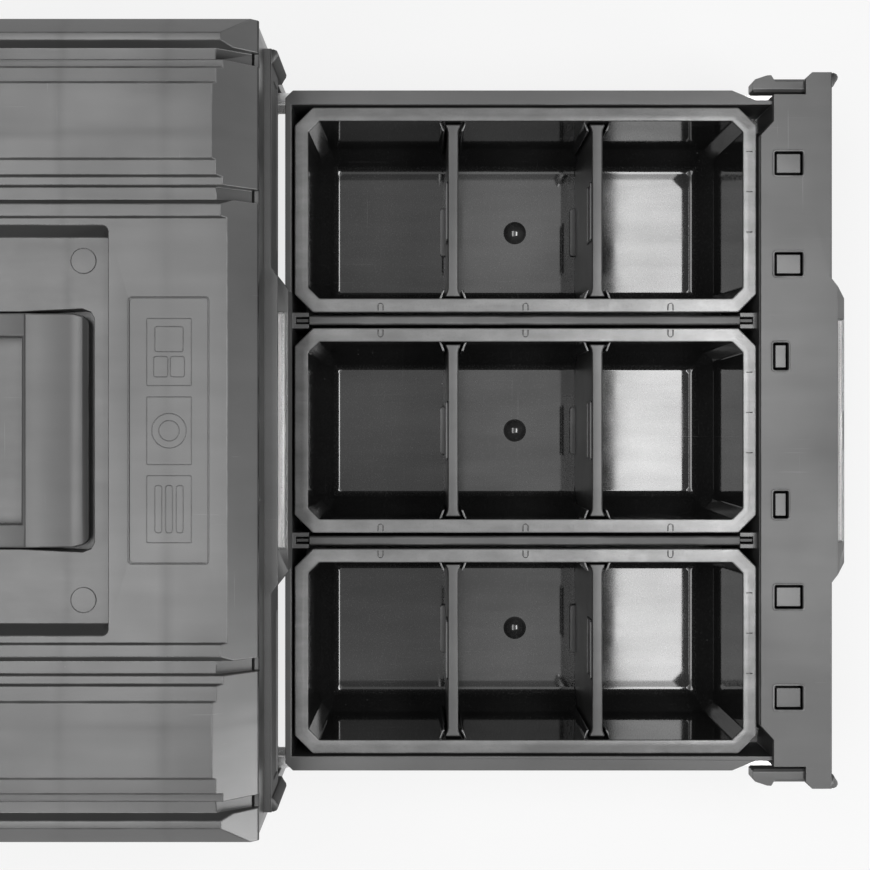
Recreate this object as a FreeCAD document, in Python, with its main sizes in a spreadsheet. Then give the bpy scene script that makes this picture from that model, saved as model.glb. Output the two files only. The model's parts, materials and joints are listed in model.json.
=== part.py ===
import FreeCAD, Part
import math
import os
import Sketcher

# Modular tool box with two drawers on telescopic slides, in millimetres.
# +Z is up, the drawers pull out towards -Y, X runs across the width.
# The origin is the middle of the standing face. Every piece is drawn with its
# drawer shut; the lower drawer is then placed at its full travel.

VECTOR = FreeCAD.Vector

SIZES = {
    # Case
    "body_width": 530,
    "body_depth": 400,
    "body_height": 270,
    "side_wall": 8,
    "side_skin": 3.5,
    "side_bottom": 8,
    "wall": 3,
    "runner_height": 11.5,
    "base_plate": 3,
    "cover_height": 26,
    "slope_run": 26.8,
    "slope_drop": 24,
    "apron_gap": 4,
    # Stacking relief of the cover: depths below the top
    "plateau_drop": 7.7,
    "band_drop": 4.3,
    "groove_drop": 11,
    "ledge_drop": 5.5,
    "step_drop": 2,
    "shoulder_drop": 20,
    "shoulder_run": 13,
    # Stacking relief of the cover: distances from the middle of the side pad
    "pad_inset": 69.75,
    "pad_half": 23.75,
    "ledge_reach": 34.75,
    "groove_near": 39.95,
    "groove_far": 48.45,
    "band_reach": 51.75,
    "plateau_reach": 60.35,
    # Carrying handle and the recess it folds into
    "recess_margin": 4.5,
    "recess_front": 106,
    "recess_depth": 14,
    "recess_draft": 6,
    "nest_depth": 16.3,
    "nest_gap": 5,
    "grip_half": 75.7,
    "grip_front": 89,
    "grip_back": 47,
    "pivot_drop": 7.3,
    "pivot_radius": 3,
    "pivot_gap": 0.06,
    # Slides
    "slide_room": 12.7,
    "slide_height": 35,
    "slide_steel": 1.2,
    "slide_gap": 0.3,
    "slide_front_inset": 22,
    "slide_rear_inset": 16,
    "slide_drop": 7.5,
    "over_travel": 32,
    # Drawers
    "tray_flange": 10.3,
    "tray_skin": 2.6,
    "tray_back": 4.5,
    "tray_rear_inset": 13,
    "tray_lift": 4,
    "tray_drop": 5,
    "fit": 0.3,
    "front_proud": 4.5,
    "front_gap": 0.8,
    "front_depth": 51,
    "front_clearance": 3,
    "lower_front_bottom": 13,
    "upper_front_height": 59,
    "upper_front_drop": 58,
    "pull_half": 95,
    "pull_depth": 10.5,
    "pull_height": 34,
    "finger_height": 21,
    "label_half": 79.5,
    "label_chamfer": 6.8,
    # Bins and dividers
    "rim_drop": 8,
    "bin_side_gap": 1.25,
    "bin_gap": 11.5,
    "bin_front_gap": 0.9,
    "bin_rear_gap": 2,
    "bin_corner": 13,
    "bin_rim": 9.9,
    "bin_wall": 2.2,
    "bin_floor": 2.4,
    "bin_draft": 2,
    "bin_toe": 9.5,
    "lower_toe_height": 27,
    "upper_toe_height": 12,
    "bin_chamfer": 3,
    "divider_gap": 1.6,
    "divider_thick": 7.6,
}

doc = FreeCAD.newDocument("modular_tool_box")
sheet = doc.addObject("Spreadsheet::Sheet", "dims")
for row, (alias, number) in enumerate(SIZES.items(), start=1):
    sheet.set("A%d" % row, alias)
    sheet.set("B%d" % row, str(number))
    sheet.setAlias("B%d" % row, alias)
doc.recompute()


class Dim:
    """A length: its number now, and the sheet expression that drives it."""

    def __init__(self, number, text):
        self.number = number
        self.text = text

    def join(self, other, sign, number):
        return Dim(number, "(%s %s %s)" % (self.text, sign, dim(other).text))

    def __add__(self, other):
        return self.join(other, "+", self.number + dim(other).number)

    def __sub__(self, other):
        return self.join(other, "-", self.number - dim(other).number)

    def __mul__(self, other):
        return self.join(other, "*", self.number * dim(other).number)

    def __truediv__(self, other):
        return self.join(other, "/", self.number / dim(other).number)

    def __radd__(self, other):
        return dim(other) + self

    def __rsub__(self, other):
        return dim(other) - self

    def __rmul__(self, other):
        return dim(other) * self

    def __neg__(self):
        return dim(-1) * self


def dim(value):
    """Turn a plain number into a Dim."""
    if isinstance(value, Dim):
        return value
    return Dim(float(value), "(%.6g)" % value)


def size(alias):
    """A Dim that reads one cell of the sheet."""
    return Dim(float(SIZES[alias]), "dims." + alias)


def box(left, right, low, high):
    """Corner points of an upright rectangle."""
    return [(left, low), (right, low), (right, high), (left, high)]


def both_halves(half):
    """Close a right-hand outline with its mirror image across the first axis."""
    return half + [(-dim(a), b) for a, b in reversed(half)]


def either_side(middle, half):
    """An outline to the right of a middle line, and its mirror image."""
    return [(middle + a, b) for a, b in half], [(middle - a, b) for a, b in half]


def octagon(middle_x, middle_y, half_x, half_y, corner):
    """Corner points of a rectangle with cut corners."""
    inner_x = half_x - corner
    inner_y = half_y - corner
    around = [(-inner_x, -half_y), (inner_x, -half_y), (half_x, -inner_y), (half_x, inner_y),
              (inner_x, half_y), (-inner_x, half_y), (-half_x, inner_y), (-half_x, -inner_y)]
    return [(middle_x + a, middle_y + b) for a, b in around]


def ring(middle_x, middle_y, radius, sides):
    """Corner points of a regular polygon that stands for a circle."""
    turns = [2 * math.pi * index / sides for index in range(sides)]
    return [(middle_x + radius * math.cos(turn), middle_y + radius * math.sin(turn)) for turn in turns]


class Piece:
    """One moulded or pressed piece: a body built up by pads and pockets."""

    def __init__(self, label):
        self.body = doc.addObject("PartDesign::Body", label)
        self.body.Label = label

    def sketch(self, plane, lift, loops):
        """Draw closed outlines; a three-part loop is a circle of middle and radius."""
        drawing = self.body.newObject("Sketcher::SketchObject", "outline")
        for datum in self.body.Origin.OriginFeatures:
            if datum.Role == plane + "_Plane":
                drawing.AttachmentSupport = (datum, [""])
        drawing.MapMode = "FlatFace"
        drawing.setExpression("AttachmentOffset.Base.z", dim(lift).text)
        for loop in loops:
            if isinstance(loop, tuple):
                self.circle(drawing, loop)
            else:
                self.polygon(drawing, loop)
        return drawing

    def polygon(self, drawing, loop):
        points = [(dim(a), dim(b)) for a, b in loop]
        corners = [VECTOR(a.number, b.number, 0) for a, b in points]
        first = drawing.GeometryCount
        count = len(points)
        sides = []
        joints = []
        for index in range(count):
            follower = (index + 1) % count
            sides.append(Part.LineSegment(corners[index], corners[follower]))
            joints.append(Sketcher.Constraint("Coincident", first + index, 2, first + follower, 1))
        drawing.addGeometry(sides, False)
        drawing.addConstraint(joints)
        self.fix(drawing, [(first + index, 1, point) for index, point in enumerate(points)])

    def circle(self, drawing, loop):
        across, along, radius = [dim(value) for value in loop]
        ring = Part.Circle(VECTOR(across.number, along.number, 0), VECTOR(0, 0, 1), radius.number)
        index = drawing.addGeometry(ring, False)
        self.fix(drawing, [(index, 3, (across, along))])
        row = drawing.addConstraint(Sketcher.Constraint("Radius", index, radius.number))
        drawing.setExpression("Constraints[%d]" % row, radius.text)

    def fix(self, drawing, marks):
        """Tie points of a drawing to the sheet; a mark is edge, vertex and point."""
        rules = []
        texts = []
        for index, vertex, point in marks:
            for kind, value in zip(("DistanceX", "DistanceY"), point):
                rules.append(Sketcher.Constraint(kind, -1, 1, index, vertex, value.number))
                texts.append(value.text)
        row = drawing.ConstraintCount
        drawing.addConstraint(rules)
        for offset, text in enumerate(texts):
            drawing.setExpression("Constraints[%d]" % (row + offset), text)

    def add(self, plane, low, high, *loops):
        """Pad outlines between two heights along the plane's own axis."""
        lift = -dim(high) if plane == "XZ" else low
        pad = self.body.newObject("PartDesign::Pad", "pad")
        pad.Profile = self.sketch(plane, lift, loops)
        pad.setExpression("Length", (dim(high) - low).text)

    def cut(self, plane, low, high, *loops):
        """Pocket outlines between two heights along the plane's own axis."""
        lift = -dim(low) if plane == "XZ" else high
        pocket = self.body.newObject("PartDesign::Pocket", "pocket")
        pocket.Profile = self.sketch(plane, lift, loops)
        pocket.setExpression("Length", (dim(high) - low).text)

    def loft(self, kind, sections):
        """Loft straight through level outlines, each given with its height."""
        drawings = [self.sketch("XY", height, [loop]) for height, loop in sections]
        form = self.body.newObject("PartDesign::" + kind, "loft")
        form.Profile = drawings[0]
        form.Sections = drawings[1:]
        form.Ruled = True

    def ease(self, kind, amount, wanted):
        """Fillet or chamfer the edges whose middle point answers to a test."""
        doc.recompute()
        tip = self.body.Tip
        names = []
        for number, edge in enumerate(tip.Shape.Edges, start=1):
            middle = edge.valueAt((edge.FirstParameter + edge.LastParameter) / 2)
            if wanted(middle, edge):
                names.append("Edge%d" % number)
        easing = self.body.newObject("PartDesign::" + kind, "easing")
        easing.Base = (tip, names)
        easing.setExpression({"Fillet": "Radius", "Chamfer": "Size"}[kind], dim(amount).text)

    def shift(self, distance):
        """Slide the whole piece along Y."""
        self.body.setExpression("Placement.Base.y", dim(distance).text)
        return self.body


def cylinder(label, radius, middle, low, high, axis):
    """A pin between two heights along X or Z."""
    pin = doc.addObject("Part::Cylinder", label)
    pin.setExpression("Radius", dim(radius).text)
    pin.setExpression("Height", (dim(high) - low).text)
    start = (low, middle[0], middle[1]) if axis == "X" else (middle[0], middle[1], low)
    if axis == "X":
        pin.Placement.Rotation = FreeCAD.Rotation(VECTOR(0, 1, 0), 90)
    for letter, value in zip("xyz", start):
        pin.setExpression("Placement.Base." + letter, dim(value).text)
    return pin


def group(label, members):
    """Several equal pieces under one name, each a solid of its own."""
    bundle = doc.addObject("Part::Compound", label)
    bundle.Label = label
    bundle.Links = members
    return bundle


# Levels and distances that several pieces share

wall = size("wall")
body_half = size("body_width") / 2
depth_half = size("body_depth") / 2
crest = size("body_height")
bay_half = body_half - size("side_wall")
seam = crest - size("cover_height")
runner = size("runner_height")
plateau = crest - size("plateau_drop")
groove = crest - size("groove_drop")
recess_floor = plateau - size("recess_depth")
pivot_level = recess_floor - size("pivot_drop")
pad_middle = body_half - size("pad_inset")
plateau_half = pad_middle - size("plateau_reach")

slide_front = depth_half - size("slide_front_inset")
slide_rear = depth_half - size("slide_rear_inset")
travel = slide_front + slide_rear + size("over_travel")
tray_half = bay_half - size("slide_room")
tray_inner = tray_half - size("tray_flange")
tray_rear = depth_half - size("tray_rear_inset")
front_plane = -depth_half - size("front_proud")
front_half = bay_half - size("front_gap")
front_inner = front_plane + size("front_depth")
tray_face = front_inner + size("fit")

upper_high = crest - size("upper_front_drop")
upper_low = upper_high - size("upper_front_height")
FRONT_HIGH = {"upper": upper_high, "lower": upper_low - size("front_clearance")}
FRONT_LOW = {"upper": upper_low, "lower": size("lower_front_bottom")}

bin_front = tray_face + size("bin_front_gap")
bin_rear = tray_rear - size("tray_back") - size("bin_rear_gap")
bin_length = bin_rear - bin_front
bin_middle = (bin_rear + bin_front) / 2
bin_pitch = (2 * (tray_inner - size("bin_side_gap")) + size("bin_gap")) / 3
bin_width = bin_pitch - size("bin_gap")
divider_pitch = (bin_length - 2 * size("bin_rim")) / 3


def tray_low(level):
    return FRONT_LOW[level] + size("tray_lift")


def tray_high(level):
    return FRONT_HIGH[level] - size("tray_drop")


def rim_level(level):
    return FRONT_HIGH[level] - size("rim_drop")


def slide_level(level):
    return (FRONT_LOW[level] + FRONT_HIGH[level]) / 2 - size("slide_drop")


GROOVES = [(pad_middle - size("groove_far"), pad_middle - size("groove_near")),
           (pad_middle + size("groove_near"), pad_middle + size("groove_far"))]


# Case

def base_panel():
    piece = Piece("base_panel")
    half = bay_half - 0.2
    piece.add("XY", runner, runner + size("base_plate"),
              box(-half, half, front_inner + 4.5, depth_half - 4.2))
    loops = []
    for inner, outer in GROOVES:
        for side in (1, -1):
            middle = side * (inner + outer) / 2
            thick = (outer - inner) / 2 - 0.7
            end = depth_half - 34
            loops.append([(middle - thick, 8 - end), (middle - thick / 2, -end),
                          (middle + thick / 2, -end), (middle + thick, 8 - end),
                          (middle + thick, end - 8), (middle + thick / 2, end),
                          (middle - thick / 2, end), (middle - thick, end - 8)])
    piece.add("XY", 0, runner, *loops)
    reach = plateau_half - 5
    ribs = [box(-reach, reach, place * depth_half - 1.5, place * depth_half + 1.5)
            for place in (-0.7, -0.35, 0, 0.35, 0.7)]
    piece.add("XY", runner - 4, runner, *ribs)
    return piece.body


def side_panel(label, side):
    piece = Piece(label)
    front = -depth_half + 1.5
    rear = depth_half
    low = size("side_bottom")

    def slab(near, far):
        return (near, far) if side > 0 else (-far, -near)

    outline = [(front, low + 12), (front + 12, low), (rear - 12, low), (rear, low + 12),
               (rear, seam), (front, seam)]
    piece.add("YZ", *slab(bay_half, body_half), outline)
    margin = size("slide_height") / 2 + 2.5
    rows = [(runner + 8, slide_level("lower") - margin),
            (slide_level("lower") + margin, slide_level("upper") - margin),
            (slide_level("upper") + margin, seam - 5)]
    start = front + 40
    pitch = (rear - 22 - start) / 4
    cells = [box(start + place * pitch, start + (place + 1) * pitch - 4, low, high)
             for low, high in rows for place in range(4)]
    piece.cut("YZ", *slab(bay_half - 1, body_half - size("side_skin")), *cells)
    flutes = [box(place - 7, place + 7, dim(34), seam - 34) for place in range(-125, 126, 50)]
    piece.cut("YZ", *slab(body_half - 1.4, body_half + 1), *flutes)
    for level in ("lower", "upper"):
        high = FRONT_HIGH[level]
        ridge = [(bay_half, front_plane + 33), (bay_half - 2.6, front_plane + 35.8),
                 (bay_half - 2.6, front_plane + 39.9), (bay_half, front_plane + 39.9)]
        piece.add("XY", high - 19, high - 4, [(side * a, b) for a, b in ridge])
    return piece.body


def back_panel():
    piece = Piece("back_panel")
    half = bay_half - 0.2
    outer = depth_half - 0.8
    piece.add("XZ", outer - 3.2, outer, box(-half, half, runner, seam))
    storey = (seam - runner) / 4
    ribs = [box(-half, half, runner + place * storey - 1.5, runner + place * storey + 1.5)
            for place in (1, 2, 3)]
    piece.add("XZ", outer - 6.5, outer - 3.2, *ribs)
    field = half / 3
    panels = [box(place * field + 14, (place + 2) * field - 14, runner + 24, seam - 24)
              for place in (-3, -1, 1)]
    piece.cut("XZ", outer - 1, outer + 1, *panels)
    return piece.body


def top_cover():
    piece = Piece("top_cover")
    ledge = crest - size("ledge_drop")
    step = crest - size("step_drop")
    band = crest - size("band_drop")
    shoulder = crest - size("shoulder_drop")
    rim_half = body_half - size("shoulder_run")
    (inner_far, inner_near), (outer_near, outer_far) = GROOVES
    inner_pad = pad_middle - size("pad_half")
    outer_pad = pad_middle + size("pad_half")
    inner_ledge = pad_middle - size("ledge_reach")
    outer_ledge = pad_middle + size("ledge_reach")
    inner_band = pad_middle - size("band_reach")
    outer_band = pad_middle + size("band_reach")
    half = [
        (plateau_half, plateau), (plateau_half + 0.6, band), (inner_band, band),
        (inner_far, groove), (inner_near - 0.4, groove), (inner_near, ledge),
        (inner_ledge, ledge), (inner_ledge + 0.8, step), (inner_pad - 0.8, step),
        (inner_pad, crest), (outer_pad, crest), (outer_pad + 0.8, step),
        (outer_ledge - 0.8, step), (outer_ledge, ledge), (outer_near, ledge),
        (outer_near + 0.4, groove), (outer_far, groove), (outer_band, band),
        (rim_half, band), (body_half, shoulder), (body_half, seam),
    ]
    piece.add("XZ", -depth_half, depth_half, both_halves(half))

    run = size("slope_run")
    foot = crest - size("slope_drop")
    rate = run / size("slope_drop")
    front_cut = [(-depth_half + run + rate * 2, crest + 2), (-depth_half, foot),
                 (-depth_half - 5, foot), (-depth_half - 5, crest + 2)]
    rear_cut = [(-a, b) for a, b in front_cut]
    piece.cut("YZ", -body_half - 1, body_half + 1, front_cut, rear_cut)

    under = groove - 3.2
    hollow = [
        (plateau_half + 4, plateau - 3.7), (inner_far - 4, under), (inner_pad + 1, under),
        (inner_pad + 3.4, crest - 3.4), (outer_pad - 3.4, crest - 3.4), (outer_pad - 1, under),
        (outer_far + 2, under), (rim_half - 1.4, band - 3.4), (body_half - 3.4, shoulder - 1.4),
        (body_half - 3.4, seam - 1),
    ]
    reach = depth_half - run - 3
    piece.cut("XZ", -reach, reach, both_halves(hollow))

    apron = box(-bay_half + 0.6, bay_half - 0.6, upper_high + size("apron_gap"), foot)
    piece.add("XZ", -depth_half, -depth_half + 3.4, apron)

    for inner, outer in GROOVES:
        ramp = [(-depth_half + run - 1, groove + 14), (-depth_half + run - 1, groove),
                (-depth_half + 3, foot - 3), (-depth_half - 2, foot - 3),
                (-depth_half - 2, groove + 14)]
        ramps = [ramp, [(-a, b) for a, b in ramp]]
        piece.cut("YZ", inner, outer, *ramps)
        piece.cut("YZ", -outer, -inner, *ramps)

    recess_half = plateau_half - size("recess_margin")
    recess_front = size("recess_front")
    bottom = recess_floor - size("nest_depth")
    nest_half = size("grip_half")
    nest_front = size("grip_front") + size("nest_gap")
    nest_rear = pivot_level - bottom + 3.5
    piece.add("XY", recess_floor - wall, plateau - 3,
              box(-recess_half - wall, recess_half + wall, -recess_front - wall, recess_front + wall))
    piece.add("XY", bottom - wall, recess_floor,
              box(-nest_half - 11, nest_half + 11, -nest_front - wall, nest_rear + wall))
    draft = size("recess_draft")
    rise = draft / size("recess_depth")
    recess = both_halves([(recess_half - draft, recess_floor), (recess_half + rise, plateau + 1)])
    piece.cut("XZ", -recess_front, recess_front, recess)
    nest = both_halves([(nest_half - 3.5, -nest_front), (nest_half + 0.6, -nest_front + 2.2),
                        (nest_half + 2.7, -nest_front + 7.5), (nest_half + 0.8, -size("grip_back")),
                        (nest_half + 0.8, nest_rear)])
    piece.cut("XY", bottom, recess_floor + 1, nest)
    pivot = (0, pivot_level, size("pivot_radius"))
    piece.cut("YZ", nest_half - 1, nest_half + 8, pivot)
    piece.cut("YZ", -nest_half - 8, -nest_half + 1, pivot)
    mark_x = recess_half - 21.1
    mark_y = recess_front - 18.9
    marks = [ring(x, y, dim(8.2), 16) for x in (-mark_x, mark_x) for y in (-mark_y, mark_y)]
    piece.add("XY", recess_floor, recess_floor + 0.35, *marks)
    sign = octagon(dim(0), -depth_half + run + 28.7, dim(84.2), dim(25), dim(2))
    piece.cut("XY", plateau - 0.7, plateau + 1, sign)

    def recess_corner(middle, edge):
        slim = abs(abs(middle.y) - recess_front.number) < 0.01
        return slim and abs(middle.z - (recess_floor + size("recess_depth") / 2).number) < 0.6

    piece.ease("Fillet", 4, recess_corner)
    return piece.body


def carry_handle():
    piece = Piece("carry_handle")
    half = size("grip_half")
    front = -size("grip_front")
    back = -size("grip_back")
    crown = recess_floor
    low = pivot_level - 6
    grip = [(back, low), (back, crown - 1.2), (back - 3, crown), (back - 14, crown - 0.2),
            (front + 12, crown - 2), (front + 4, crown - 4.6), (front, crown - 8),
            (front + 1.5, low + 1), (front + 6, low)]
    piece.add("YZ", -half, half, grip)
    arm = [(back - 2, low), (back - 2, crown - 0.6), (-7, crown - 0.9), (0, pivot_level + 6.2),
           (4.4, pivot_level + 4.4), (6.2, pivot_level), (4.4, pivot_level - 4.4),
           (0, pivot_level - 6)]
    piece.add("YZ", half - 15, half, arm)
    piece.add("YZ", -half, -half + 15, arm)
    hole = (0, pivot_level, size("pivot_radius"))
    piece.cut("YZ", half - 13, half + 1, hole)
    piece.cut("YZ", -half - 1, -half + 13, hole)
    corner = [(half + 1, front + 9), (half, front + 9), (half - 1.4, front + 4),
              (half - 4.4, front + 1), (half - 10, front - 0.4), (half - 10, front - 5),
              (half + 1, front - 5)]
    mirror = [(-a, b) for a, b in corner]
    piece.cut("XY", low - 1, crown + 1, corner, mirror)
    return piece.body


def handle_pins():
    half = size("grip_half")
    radius = size("pivot_radius") - size("pivot_gap")
    spot = (0, pivot_level)
    right = cylinder("right_handle_pin", radius, spot, half - 12.5, half + 7.5, "X")
    left = cylinder("left_handle_pin", radius, spot, -half - 7.5, -half + 12.5, "X")
    return group("handle_pins", [left, right])


# Slides: three nested channels on each side of each drawer

def rail(label, side, level, stage):
    piece = Piece(label)
    steel = size("slide_steel")
    gap = size("slide_gap")
    room = size("slide_room")
    half = size("slide_height") / 2
    inset = {"outer": 0, "middle": 1, "inner": 2}[stage] * (steel + gap)
    tall = half - inset
    if stage == "inner":
        back = dim(0)
        inward = steel
        lip = room - 2 * (steel + gap) - gap
    else:
        back = room - inset
        inward = back - steel
        lip = dim(2) + inset / 4
    section = [(back, -tall), (back, tall), (lip, tall), (lip, tall - steel),
               (inward, tall - steel), (inward, -tall + steel), (lip, -tall + steel), (lip, -tall)]
    middle = slide_level(level)
    loop = [(side * (tray_half + across), middle + height) for across, height in section]
    piece.add("XZ", -slide_front, slide_rear, loop)
    share = {"outer": 0, "middle": 0.5, "inner": 1}[stage]
    return piece.shift(-share * travel) if level == "lower" else piece.body


# Drawers

def snap_windows():
    """Middle and half sizes of the six snap windows in a drawer front."""
    places = (front_half - 65.2, size("pull_half") + 24)
    wide = [(side * place, front_plane + 31.1, 8.4, 10.1) for place in places for side in (-1, 1)]
    slim = [(dim(place), front_plane + 36.8, 9.7, 5.4) for place in (-53, 53)]
    return wide + slim


def drawer_tray(level):
    piece = Piece(level + "_drawer_tray")
    skin = size("tray_skin")
    outer = tray_half
    inner = tray_inner
    bottom = tray_low(level)
    high = tray_high(level)
    skirt = slide_level(level) - size("slide_height") / 2 - 1
    rear = tray_rear
    face = tray_face
    nose = face - 9.5
    section = [
        (inner, bottom + skin), (inner, high), (outer, high), (outer, skirt), (outer - skin, skirt),
        (outer - skin, high - skin), (inner + skin, high - skin), (inner + skin, bottom),
    ]
    piece.add("XZ", nose - skin, rear, both_halves(section))
    lead = [(inner - 23.8, face - skin), (inner - 13.8, nose - skin), (inner - 13.8, nose - 9)]
    piece.cut("XY", bottom - 1, high + 1, both_halves(lead))
    piece.add("XZ", rear - size("tray_back"), rear, box(-inner - 1, inner + 1, bottom, high))
    piece.add("XZ", rear - 3, rear, box(inner, outer, skirt, high), box(-outer, -inner, skirt, high))
    front_top = FRONT_HIGH[level]
    outside = [(inner - 22.8, face), (inner - 12.8, nose), (inner + skin, nose)]
    inside = [(inner + skin, nose - skin), (inner - 13.8, nose - skin), (inner - 23.8, face - skin)]
    piece.add("XY", bottom, front_top - wall - 0.4, both_halves(outside + inside))
    socket_top = rim_level(level) - 4
    for place in (-bin_pitch / 2, bin_pitch / 2):
        for start, step in ((rear - size("tray_back"), -1), (face, 1)):
            mouth = start + step * 12
            stop = start + step * 2.5
            piece.add("XY", bottom, socket_top,
                      [(place - 5.8, start - step * 1), (place - 5.8, mouth), (place - 2.5, mouth),
                       (place - 2.5, stop), (place + 2.5, stop), (place + 2.5, mouth),
                       (place + 5.8, mouth), (place + 5.8, start - step * 1)])
    tabs = []
    arms = []
    for across, along, half_x, half_y in snap_windows():
        tabs.append(box(across - half_x + 1.6, across + half_x - 1.6,
                        along - half_y + 1.6, along + half_y - 1.6))
        arms.append(box(across - half_x + 1.6, across + half_x - 1.6,
                        along - half_y + 1.6, face - 1))
    piece.add("XY", front_top - 17, front_top - 12, *arms)
    piece.add("XY", front_top - 13, front_top - 0.5, *tabs)
    taper = [(outer + 1, face + 23.2), (outer, face + 19.2), (outer - 7, face + 2.2),
             (outer - 7, nose - 9), (outer + 1, nose - 9)]
    flip = [(-a, b) for a, b in taper]
    piece.cut("XY", slide_level(level) + size("slide_height") / 2 + 0.5, high + 1, taper, flip)
    corner = [(outer - 6, rear + 0.5), (outer + 0.5, rear - 6), (outer + 0.5, rear + 0.5)]
    piece.cut("XY", skirt - 1, high + 1, corner, [(-a, b) for a, b in corner])
    return piece.shift(-travel) if level == "lower" else piece.body


def drawer_front(level):
    piece = Piece(level + "_drawer_front")
    low = FRONT_LOW[level]
    high = FRONT_HIGH[level]
    plane = front_plane
    half = front_half
    inner = front_inner
    outline = [(tray_inner - 22.8, inner), (tray_inner - 12.8, inner - 9.2), (half - 15.7, inner - 9.2),
               (half - 15.7, plane + 18.9), (half - 5, plane + 18.9), (half, plane + 14.3),
               (half, plane)]
    piece.add("XY", low, high, both_halves(outline))
    lip = [(plane + 1.3, high + 0.2), (plane - 0.2, high - 1.3), (plane - 1, high - 1.3),
           (plane - 1, high + 0.2)]
    toe = [(plane, low + 17), (plane + 2.2, low - 0.5), (plane - 1, low - 0.5), (plane - 1, low + 17)]
    piece.cut("YZ", -half - 1, half + 1, lip, toe)
    hollow = [(half - 18.7, inner + 4), (half - 18.7, plane + 15.9), (half - 4.7, plane + 15.9),
              (half - wall, plane + 14), (half - wall, plane + wall + 1.5)]
    piece.cut("XY", low + wall, high - wall, both_halves(hollow))

    pull = size("pull_half")
    nose = plane - size("pull_depth")
    bar_low = high - size("pull_height")
    scoop_low = bar_low - size("finger_height")
    piece.add("XY", bar_low, high, both_halves([(pull + 16, plane + 2), (pull, nose)]))
    piece.add("XY", scoop_low - wall, high - wall + 0.5,
              box(-pull - 1, pull + 1, plane + 1, plane + 24))
    scoop = [(nose - 1, scoop_low), (plane + 20.5, scoop_low + 3), (plane + 20.5, high - 10),
             (nose + 7, high - 13), (nose + 3.5, high - 17), (nose + 3.5, bar_low), (nose - 1, bar_low)]
    piece.cut("YZ", -pull + 3, pull - 3, scoop)
    chamfer = size("label_chamfer")
    edge = nose + chamfer
    piece.cut("YZ", -pull - 17, pull + 17,
              [(edge + 0.5, high + 0.5), (nose - 1.5, high - chamfer - 1.5), (nose - 1.5, high + 0.5)])
    seat = label_strip(level, 0.7, 8.9, -1, 1.9)
    piece.cut("YZ", -size("label_half") - 0.5, size("label_half") + 0.5, seat)

    windows = [box(a - half_x, a + half_x, b - half_y, b + half_y)
               for a, b, half_x, half_y in snap_windows()]
    piece.cut("XY", high - wall - 1, high + 1, *windows)
    bead = [(half - 1.5, plane + 3), (half - 0.3, plane - 1.2), (half - 1.2, plane - 3.4),
            (half - 3.2, plane - 4.4), (half - 5.2, plane - 4), (half - 7.2, plane - 2.6),
            (half - 10, plane - 1), (half - 10, plane + 3)]
    piece.add("XY", low, high - 0.8, bead, [(-a, b) for a, b in bead])

    hook_low = high - 18
    spot_x, spot_y = hook_pivot()
    shelves = []
    slots = []
    holes = []
    for side in (1, -1):
        near = side * (half - 14)
        far = side * (half - wall + 0.5)
        shelves.append(box(near, far, plane + wall, plane + 16))
        slots.append(box(side * (half - 14.4), side * (half - wall), plane + 12, plane + 20))
        holes.append((side * spot_x, spot_y, size("pivot_radius") - 0.94))
    piece.add("XY", hook_low - 4.6, hook_low - 0.6, *shelves)
    piece.cut("XY", hook_low - 1, high - wall, *slots)
    piece.cut("XY", hook_low - 3.6, high - 1.5, *holes)
    fields = [box(side * (pull + 30), side * (half - 18), low + 20, high - 12) for side in (1, -1)]
    piece.cut("XZ", plane - 1, plane + 1, *fields)
    return piece.shift(-travel) if level == "lower" else piece.body


def label_strip(level, start, end, outer, inner):
    """A strip on the slanted label face: along the slope, then into the front."""
    slant = 0.70711
    high = FRONT_HIGH[level]
    edge = front_plane - size("pull_depth") + size("label_chamfer")
    corners = ((start, outer), (end, outer), (end, inner), (start, inner))
    return [(edge - slant * along + slant * deep, high - slant * along - slant * deep)
            for along, deep in corners]


def label_window(level):
    piece = Piece(level + "_label_window")
    half = size("label_half")
    piece.add("YZ", -half, half, label_strip(level, 0.9, 8.7, 0.1, 1.4))
    piece.cut("YZ", -13.5, 13.5, label_strip(level, 7.2, 9.5, -0.5, 2))
    return piece.shift(-travel) if level == "lower" else piece.body


def label_card(level):
    piece = Piece(level + "_label_card")
    half = size("label_half") - 1
    piece.add("YZ", -half, half, label_strip(level, 1.2, 7, 1.4, 1.9))
    return piece.shift(-travel) if level == "lower" else piece.body


def hook_pivot():
    """Where each catch arm turns, for the right-hand side."""
    return front_half - 7.9, front_plane + 12


def catch_hook(label, side, level):
    piece = Piece(label)
    high = FRONT_HIGH[level]
    half = front_half
    plane = front_plane
    arm = [(half - 11.7, plane + 7.2), (half - 4.6, plane + 7.2), (half - 3.6, plane + 9.5),
           (half - 3.6, plane + 40.8), (half - 1, plane + 42.4), (half - 1.2, plane + 45.5),
           (half - 4, plane + 54), (half - 6.2, plane + 55.9), (half - 11.5, plane + 55.9),
           (half - 12.9, plane + 54.5), (half - 12.9, plane + 18.5), (half - 12.6, plane + 8.8)]
    piece.add("XY", high - 18, high - 4.5, [(side * a, b) for a, b in arm])
    spot_x, spot_y = hook_pivot()
    piece.cut("XY", high - 19, high - 4, (side * spot_x, spot_y, size("pivot_radius") - 0.94))
    ceiling = (high - 4.5).number

    def crown(middle, edge):
        return abs(middle.z - ceiling) < 0.01 and middle.y > plane.number + 18 and edge.Length > 10

    piece.ease("Chamfer", 1.8, crown)
    return piece.shift(-travel) if level == "lower" else piece.body


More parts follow.
